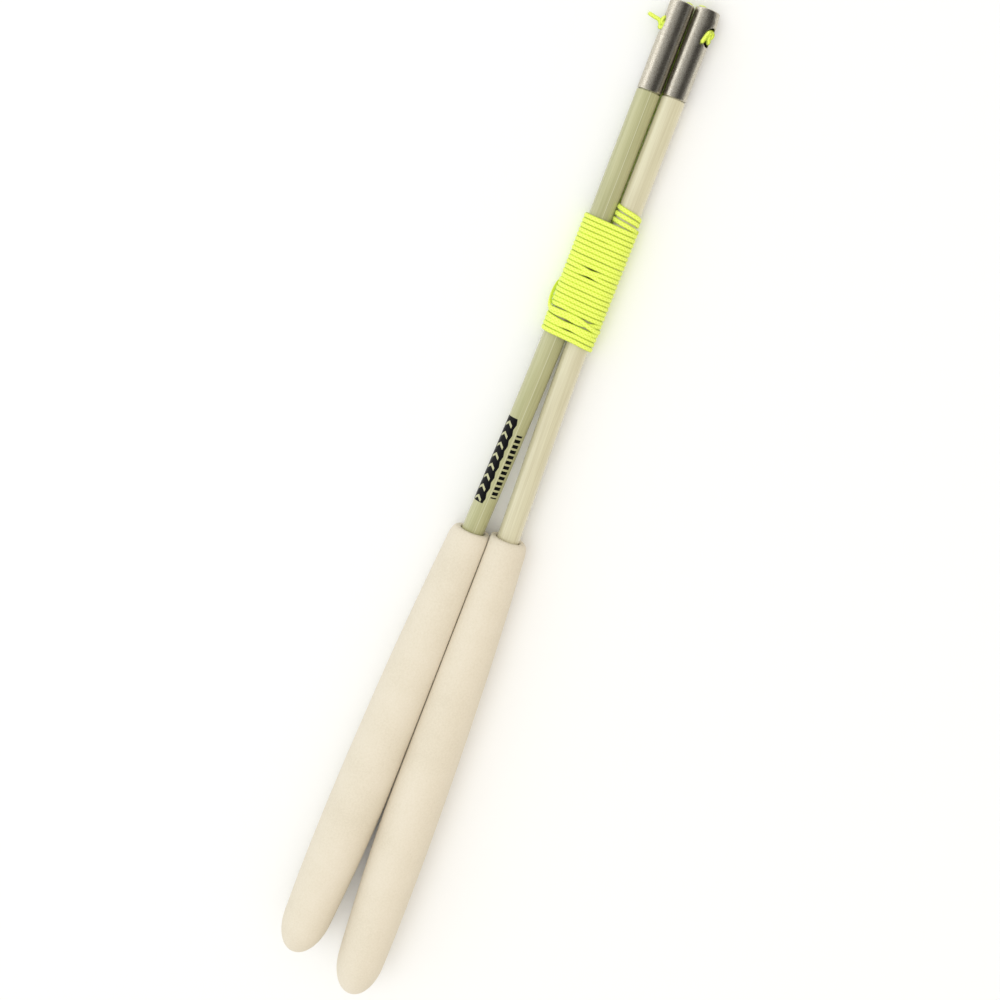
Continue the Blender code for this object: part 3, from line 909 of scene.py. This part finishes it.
PRINT_START = -0.0571
PRINT_END = -0.0278
CHEVRON_COUNT = 8
BAND_CENTRE = math.radians(43)
BAND_HALF_WIDTH = 0.0025
BAND_REACH = 1.15  # in half-widths, at the foot of a notch
NOTCH_DEPTH = 0.35
CHEVRON_LEAN = 0.55
CHEVRON_HALF_THICKNESS = 0.13
CHEVRON_REACH = 0.62
BAR_CENTRE = math.radians(124)
BAR_HALF_WIDTH = 0.0011
BAR_LENGTH = 0.62
BARS_START = -0.0546
BARS_END = -0.0326


def band_mask(shader, step, angle):
    """A notched band along the tube, with a row of chevrons left clear in it."""
    from_notch = shader.away(shader.math("FRACT", step), 0.5)
    reach = shader.away(angle, BAND_CENTRE)
    sideways = shader.times(reach, TUBE_RADIUS / BAND_HALF_WIDTH)
    edge = shader.math("ADD", sideways, shader.times(from_notch, NOTCH_DEPTH))
    band = shader.math("LESS_THAN", edge, BAND_REACH)
    leaning = shader.math("ADD", step, shader.times(sideways, CHEVRON_LEAN))
    from_chevron = shader.away(shader.math("FRACT", leaning), 0.5)
    on_chevron = shader.math("LESS_THAN", from_chevron, CHEVRON_HALF_THICKNESS)
    chevron = shader.both(on_chevron, shader.math("LESS_THAN", sideways, CHEVRON_REACH))
    inside = shader.between(step, 0.0, float(CHEVRON_COUNT))
    return shader.both(shader.math("SUBTRACT", band, chevron), inside)


def bar_mask(shader, step, angle, along):
    """A row of short bars across the tube, two to each chevron."""
    on_bar = shader.math("LESS_THAN", shader.math("FRACT", shader.times(step, 2.0)), BAR_LENGTH)
    in_row = shader.math("LESS_THAN", shader.away(angle, BAR_CENTRE), BAR_HALF_WIDTH / TUBE_RADIUS)
    return shader.both(shader.both(on_bar, in_row), shader.between(along, BARS_START, BARS_END))


def print_mask(shader):
    """A generic black print with no letters: a band and, beside it, a row of bars."""
    along, angle = shader.surface()
    from_start = shader.math("SUBTRACT", along, PRINT_START)
    step = shader.times(from_start, CHEVRON_COUNT / (PRINT_END - PRINT_START))
    band = band_mask(shader, step, angle)
    return shader.math("MAXIMUM", band, bar_mask(shader, step, angle, along))


def metal_material():
    """Satin nickel with a fine speckle, cloudier in some places than in others."""
    shader = Shader("ferrule_metal", (0.60, 0.56, 0.47), 0.3, metallic=1.0)
    place = shader.place()
    speckle = shader.noise(place, 3800, 3.0, 0.7)
    clouds = shader.noise(place, 500, 2.0)
    shader.set("Base Color", shader.ramp(speckle, [
        (0.34, (0.38, 0.34, 0.26)),
        (0.52, (0.62, 0.58, 0.49)),
        (0.68, (0.82, 0.79, 0.70)),
    ]))
    shader.set("Roughness", shader.math("ADD", 0.2, shader.times(clouds, 0.2)))
    shader.bump(speckle, 0.00005, 0.6)
    return shader.material


def foam_material():
    """Soft closed-cell foam: matte, with a fine grain and faint clouds of colour."""
    shader = Shader("grip_foam", (0.82, 0.74, 0.60), 0.95, sheen_weight=0.1, sheen_roughness=0.6)
    place = shader.place()
    grain = shader.noise(place, 1500, 4.0, 0.65)
    clouds = shader.noise(place, 60, 2.0)
    shader.set("Base Color", shader.ramp(shader.blend(grain, clouds, 0.6), [
        (0.35, (0.69, 0.62, 0.49)),
        (0.50, (0.735, 0.665, 0.535)),
        (0.68, (0.77, 0.70, 0.58)),
    ]))
    shader.bump(grain, 0.00012, 0.5)
    return shader.material


def plug_material():
    """Black moulded plastic with a fine spark-eroded grain."""
    shader = Shader("plug_plastic", (0.03, 0.03, 0.03), 0.5)
    grain = shader.noise(shader.place(), 3000, 2.0)
    shader.set("Base Color", shader.ramp(grain, [(0.3, (0.02, 0.02, 0.02)), (0.7, (0.05, 0.05, 0.05))]))
    shader.bump(grain, 0.00004, 0.4)
    return shader.material


# ---- pieces

def make_knot(stick, material, draw):
    """The knot in a stick's window, and the loose fibres at its cut tail."""
    stations = knot_route(stick).stations(KNOT_STEP)
    mesh = sweep(f"{stick.name}_knot_tied", stations)
    knot = add_piece(mesh, stick.body, material, [f"{stick.name}_knot"])
    verts, faces = fibre_ends(stations, draw)
    fibres = bpy.data.meshes.new(f"{stick.name}_knot_fibres")
    fibres.from_pydata([list(v) for v in verts], [], faces)
    fibres.uv_layers.new(name="surface")
    add_piece(fibres, stick.body, material)
    return knot


def stretch_with(piece):
    """Moves a run of string's placement into its mesh."""
    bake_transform(piece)


def make_string(material):
    """The one string, as three cords that meet, and its two knots."""
    draw = random.Random(SEED)
    main = main_route(draw).stations()
    locking = locking_route().stations()
    right = right_route().stations()
    left_knot = make_knot(LEFT, material, draw)
    right_knot = make_knot(RIGHT, material, draw)

    mesh = sweep("string_wound", main, round_end=False)
    wound = add_piece(mesh, None, material,
                      replaces=["left_tip_string", "string_under_wrap", "string_wrap"])
    stretch_with(wound)

    mesh = sweep("string_locking", locking, before=length_of(main), round_start=False)
    locked = add_piece(mesh, "wrap", material, replaces=["locking_turns"])

    mesh = sweep("string_to_right_tip", right)
    risen = add_piece(mesh, None, material, replaces=["right_tip_string"])
    stretch_with(risen)


TUBE_SIDES = 72
FERRULE_SIDES = 120
GRIP_SIDES = 112
TUBE_EDGE = 0.00015
UNEVEN_HARD = 0.00002  # how far a hard surface strays from true


def make_tube(stick, material):
    """A pulled tube, turned down at its tip to sit in the ferrule, bent where the grips press it."""
    seat_foot = stick.foot - GAP
    seat_end = stick.foot + TUBE_SEAT_LENGTH
    runs = spaced(seat_foot - TUBE_EDGE, stick.tube_foot + TUBE_EDGE, 90)
    outline = [(seat_end, TUBE_SEAT_RADIUS), (seat_foot, TUBE_SEAT_RADIUS)]
    outline.append((seat_foot, TUBE_RADIUS - TUBE_EDGE))
    outline += [(along, TUBE_RADIUS) for along in runs]
    outline += [(stick.tube_foot, TUBE_RADIUS - TUBE_EDGE), (stick.tube_foot, TUBE_BORE_RADIUS)]
    outline += [(along, TUBE_BORE_RADIUS) for along in reversed(runs)]
    outline.append((seat_end, TUBE_BORE_RADIUS))

    def uneven(along, radius, angle):
        if radius < TUBE_RADIUS:
            return radius
        swell = noise.noise(Vector((along * 60, math.cos(angle), math.sin(angle) + stick.side)))
        return radius + UNEVEN_HARD * swell

    points, uvs = lathe_points(outline, TUBE_SIDES, stick, uneven)
    mesh = grid_mesh(f"{stick.name}_tube_drawn", points, uvs, closed_rows=True)
    mesh.flip_normals()
    mesh.set_sharp_from_angle(angle=math.radians(40))
    return add_piece(mesh, stick.body, material,
                     replaces=[f"{stick.name}_tube"])


def window_cutter(stick):
    """A slot with round ends, out through one wall of the ferrule."""
    half_run = (WINDOW_LENGTH - WINDOW_WIDTH) / 2
    ring = []
    for end in (1, -1):
        for angle in spaced(-math.pi / 2, math.pi / 2, 16):
            x = end * (half_run + WINDOW_WIDTH / 2 * math.cos(angle))
            ring.append((x, end * WINDOW_WIDTH / 2 * math.sin(angle)))
    along = Vector((1, 0, 0))
    sideways = along.cross(stick.outward)
    centre = stick.axis + along * stick.window
    points = np.array([
        [centre + along * x + sideways * y + stick.outward * depth for x, y in ring]
        for depth in (FERRULE_RADIUS / 2, FERRULE_RADIUS * 2)
    ])
    mesh = grid_mesh(f"{stick.name}_window", points, np.zeros((3, len(ring) + 1, 2)))
    mesh.flip_normals()
    return bpy.data.objects.new(f"{stick.name}_window", mesh)


# The right ferrule is bent outwards between its window and its tip
FLARE_HEIGHT = 0.0005
FLARE_LENGTH = 0.0019
FLARE_SPREAD = math.radians(36)
FLARE_FROM_TIP = 0.0035
FERRULE_FOOT_EDGE = 0.00012
WINDOW_EDGE = 0.00008


def cut_window(blank_mesh, stick):
    """The ferrule's mesh with its window cut and the sharp edges softened."""
    blank = bpy.data.objects.new("blank", blank_mesh)
    cutter = window_cutter(stick)
    for obj in (blank, cutter):
        bpy.context.collection.objects.link(obj)
    cut = blank.modifiers.new("window", "BOOLEAN")
    cut.object = cutter
    soften = blank.modifiers.new("edge", "BEVEL")
    soften.width = WINDOW_EDGE
    soften.segments = 2
    soften.limit_method = "ANGLE"
    soften.angle_limit = math.radians(50)
    bpy.context.view_layer.update()
    shown = blank.evaluated_get(bpy.context.evaluated_depsgraph_get())
    finished = bpy.data.meshes.new_from_object(shown)
    for obj in (blank, cutter):
        bpy.data.objects.remove(obj, do_unlink=True)
    finished.shade_smooth()
    finished.set_sharp_from_angle(angle=math.radians(45))
    return finished


def ferrule_outline(stick):
    """From the tip's outer edge down to the foot, up inside to the nose and out through its hole."""
    inner = FERRULE_RADIUS - FERRULE_WALL
    nose_foot = stick.tip - NOSE_LENGTH
    rounding = NOSE_MOUTH_ROUNDING
    edge = FERRULE_EDGE
    outline = arc(stick.tip - edge, FERRULE_RADIUS - edge, edge, 90, 0, steps=6)
    runs = spaced(outline[-1][0], stick.foot + FERRULE_FOOT_EDGE, 40)
    outline += [(along, FERRULE_RADIUS) for along in runs[1:]]
    outline += [(stick.foot, FERRULE_RADIUS - FERRULE_FOOT_EDGE), (stick.foot, inner)]
    outline += [(along, inner) for along in spaced(stick.foot, nose_foot, 20)[1:]]
    outline.append((nose_foot, NOSE_HOLE_RADIUS))
    return outline + arc(stick.tip - rounding, NOSE_HOLE_RADIUS + rounding, rounding, 180, 90, steps=8)


def make_ferrule(stick, material):
    """A drawn metal sleeve with a thick nose, a window for the knot and softly rounded edges."""
    inner = FERRULE_RADIUS - FERRULE_WALL
    window_angle = math.atan2(stick.outward.z, stick.outward.y)

    def bent(along, radius, angle):
        if radius < inner * 0.9:
            return radius
        around = (1.5 * math.cos(angle), 1.5 * math.sin(angle) + 3 * stick.side)
        reach = radius + UNEVEN_HARD * noise.noise(Vector((along * 150, *around)))
        if stick is RIGHT and radius > inner:
            turn = math.remainder(angle - window_angle, 2 * math.pi)
            near = math.exp(-(((along - stick.tip + FLARE_FROM_TIP) / FLARE_LENGTH) ** 2))
            reach += FLARE_HEIGHT * near * math.exp(-((turn / FLARE_SPREAD) ** 2))
        return reach

    points, uvs = lathe_points(ferrule_outline(stick), FERRULE_SIDES, stick, bent)
    blank = grid_mesh(f"{stick.name}_blank", points, uvs, closed_rows=True)
    blank.flip_normals()
    mesh = cut_window(blank, stick)
    mesh.name = f"{stick.name}_ferrule_drawn"
    return add_piece(mesh, stick.body, material,
                     replaces=[f"{stick.name}_tip_ferrule"])


def foam_radius(along, stick):
    """Outer radius of the grip: fullest at its belly, thinner at its mouth and domed at its end."""
    belly = stick.grip_mouth - BELLY_TO_MOUTH
    if along > belly:
        taper = (along - belly) / BELLY_TO_MOUTH
        drop = (GRIP_RADIUS - GRIP_MOUTH_RADIUS) * taper**GRIP_TAPER_POWER
    else:
        drop = GRIP_BUTT_DROP * ((belly - along) / (belly - stick.dome_end)) ** 2
    into_dome = 1 - min(1, (along - stick.dome_end) / GRIP_DOME_LENGTH)
    dome = (1 - into_dome**GRIP_DOME_POWER) ** (1 / GRIP_DOME_POWER)
    return (GRIP_RADIUS - drop) * dome


def grip_outline(stick):
    """The foam sleeve's outline, from its blind bore round its rolled mouth to its domed end."""
    shoulder = stick.grip_mouth - GRIP_LIP
    dome_top = stick.dome_end + GRIP_DOME_LENGTH
    pocket_floor = stick.plug_base - GAP
    pocket_top = stick.plug_base + PLUG_HEAD_LENGTH + GAP
    pocket_radius = PLUG_HEAD_RADIUS + GAP
    inner_lip = GRIP_LIP / 2
    bore = [(pocket_floor, 0), (pocket_floor, pocket_radius), (pocket_top, pocket_radius)]
    bore += [(along, GRIP_BORE_RADIUS) for along in spaced(pocket_top, shoulder, 24)]
    lip = arc(stick.grip_mouth - inner_lip, GRIP_BORE_RADIUS + inner_lip, inner_lip, 180, 90, steps=6)
    for rise in spaced(0, math.pi / 2, 12):
        along = shoulder + SHOULDER_LENGTH * (math.cos(rise) - 1) + GRIP_LIP
        lip.append((along, foam_radius(along, stick) - SHOULDER_DROP * (1 - math.sin(rise))))
    runs = spaced(lip[-1][0], dome_top, 130)
    side = [(along, foam_radius(along, stick)) for along in runs[1:]]
    dome = []
    for angle in spaced(0, math.pi / 2, 22)[1:-1]:
        along = stick.dome_end + GRIP_DOME_LENGTH * (1 - math.sin(angle))
        dome.append((along, foam_radius(along, stick)))
    return bore + lip + side + dome + [(stick.dome_end, 0)]


PRESS_SOFTNESS = 0.0003  # how gradually the foam turns into its flat
UNEVEN_FOAM = 0.00004
FOAM_GRAIN = 0.000025


def make_grip(stick, material):
    """A soft foam grip: uneven by a fraction of a millimetre, and flat where it presses the other."""
    def uneven(along, radius, angle):
        if radius <= GRIP_BORE_RADIUS + GRIP_LIP:
            return radius
        around = Vector((along * 45, 1.2 * math.cos(angle), 1.2 * math.sin(angle) + 5 * stick.side))
        fine = Vector((along * 700, 6 * math.cos(angle), 6 * math.sin(angle) + 5 * stick.side))
        return radius + UNEVEN_FOAM * noise.noise(around) + FOAM_GRAIN * noise.noise(fine)

    points, uvs = lathe_points(grip_outline(stick), GRIP_SIDES, stick, uneven)
    over = points[:, :, 1] * stick.side - PRESSED_GAP / 2
    pressed = (over + np.sqrt(over**2 + PRESS_SOFTNESS**2)) / 2
    points[:, :, 1] = stick.side * (PRESSED_GAP / 2 + pressed)
    mesh = grid_mesh(f"{stick.name}_grip_foam", points, uvs)
    mesh.flip_normals()
    piece = add_piece(mesh, stick.body, material, replaces=[f"{stick.name}_grip"])
    return piece


def finish_plugs(material):
    for stick in (LEFT, RIGHT):
        plug = frame["nodes"][f"{stick.name}_end_plug"]
        plug.material_slots[0].material = material


# ---- stage

# The studio round the sticks, by angle about their length: degrees from straight up, towards the
# left stick's side, and the brightness there
STUDIO = (
    (-180, 0.60),
    (-120, 0.30),
    (-100, 0.26),
    (-70, 0.34),
    (-60, 0.06),
    (-20, 0.05),
    (-8, 0.18),
    (5, 0.34),
    (30, 0.55),
    (50, 0.75),
    (60, 1.60),
    (88, 1.60),
    (100, 0.80),
    (180, 0.80),
)
STUDIO_MOST = 1.6

# The soft light on all but the gloss, by the same angle as a part of a turn from straight down: warm
# from the right, plain from above and a little cooler from the left
SOFT = (
    (0.3, (0.84, 0.76, 0.63)),
    (0.5, (0.97, 0.97, 0.96)),
    (0.7, (0.97, 1.0, 0.99)),
)
BACKDROP = 0.97


def make_world():
    """Strips of light for the gloss, an even soft light for the rest, and a pale backdrop."""
    world = bpy.data.worlds.new("studio")
    world.use_nodes = True
    studio = Nodes(world.node_tree)
    direction = studio.node("ShaderNodeTexCoord", output="Generated")
    angle = studio.math("ARCTAN2", *studio.split(direction, "Y", "Z"))
    turn = studio.math("MULTIPLY_ADD", angle, 1 / (2 * math.pi), 0.5)
    strips = [((degrees + 180) / 360, (light / STUDIO_MOST,) * 3) for degrees, light in STUDIO]
    inputs = {0: studio.ramp(turn, strips), "Scale": STUDIO_MOST}
    bright = studio.node("ShaderNodeVectorMath", inputs, operation="SCALE")
    glossy = studio.node("ShaderNodeLightPath", output="Is Glossy Ray")
    direct = studio.node("ShaderNodeLightPath", output="Is Camera Ray")
    lit = studio.mix(glossy, studio.ramp(turn, SOFT), bright)
    seen = studio.mix(direct, lit, rgb((BACKDROP,) * 3))
    studio.feed(studio.tree.nodes["Background"].inputs[0], seen)
    bpy.context.scene.world = world


LIGHT_PLACE = Vector((0.0, 0.25, 1.3))
LIGHT_SIZE = 1.2
LIGHT_POWER = 4.5


def make_light():
    """A large round soft light above. The gloss shows the studio's strips of light instead of it."""
    data = bpy.data.lights.new("soft_top", "AREA")
    data.shape = "DISK"
    data.size = LIGHT_SIZE
    data.energy = LIGHT_POWER
    light = bpy.data.objects.new("soft_top", data)
    light.location = LIGHT_PLACE
    light.rotation_mode = "QUATERNION"
    light.rotation_quaternion = (-LIGHT_PLACE).to_track_quat("-Z", "Y")
    light.visible_camera = False
    light.visible_glossy = False
    bpy.context.collection.objects.link(light)


FLOOR_SIZE = 8.0
FLOOR_STEPS = 16
FLOOR_HEIGHT = -0.0001


def make_floor():
    ticks = np.linspace(-FLOOR_SIZE / 2, FLOOR_SIZE / 2, FLOOR_STEPS + 1)
    verts = [(x, y, FLOOR_HEIGHT) for y in ticks for x in ticks]
    row = FLOOR_STEPS + 1
    corners = [corner for corner in range(row * FLOOR_STEPS) if (corner + 1) % row]
    faces = [(corner, corner + 1, corner + row + 1, corner + row) for corner in corners]
    mesh = bpy.data.meshes.new("floor")
    mesh.from_pydata(verts, [], faces)
    shader = Shader("floor", (0.92, 0.92, 0.915), 0.9)
    mesh.materials.append(shader.material)
    floor = bpy.data.objects.new("floor", mesh)
    bpy.context.collection.objects.link(floor)


# ---- main

make_camera()
make_string(string_material())
grey_green = fibreglass_material("left_fibreglass", (0.49, 0.48, 0.26), (0.38, 0.38, 0.18), printed_and_highlit=True)
cream = fibreglass_material("right_fibreglass", (0.70, 0.66, 0.46), (0.58, 0.53, 0.35))
make_tube(LEFT, grey_green)
make_tube(RIGHT, cream)
metal = metal_material()
foam = foam_material()
for stick in (LEFT, RIGHT):
    make_ferrule(stick, metal)
    make_grip(stick, foam)
finish_plugs(plug_material())
make_floor()
make_world()
make_light()
bpy.context.scene.view_settings.view_transform = "Standard"
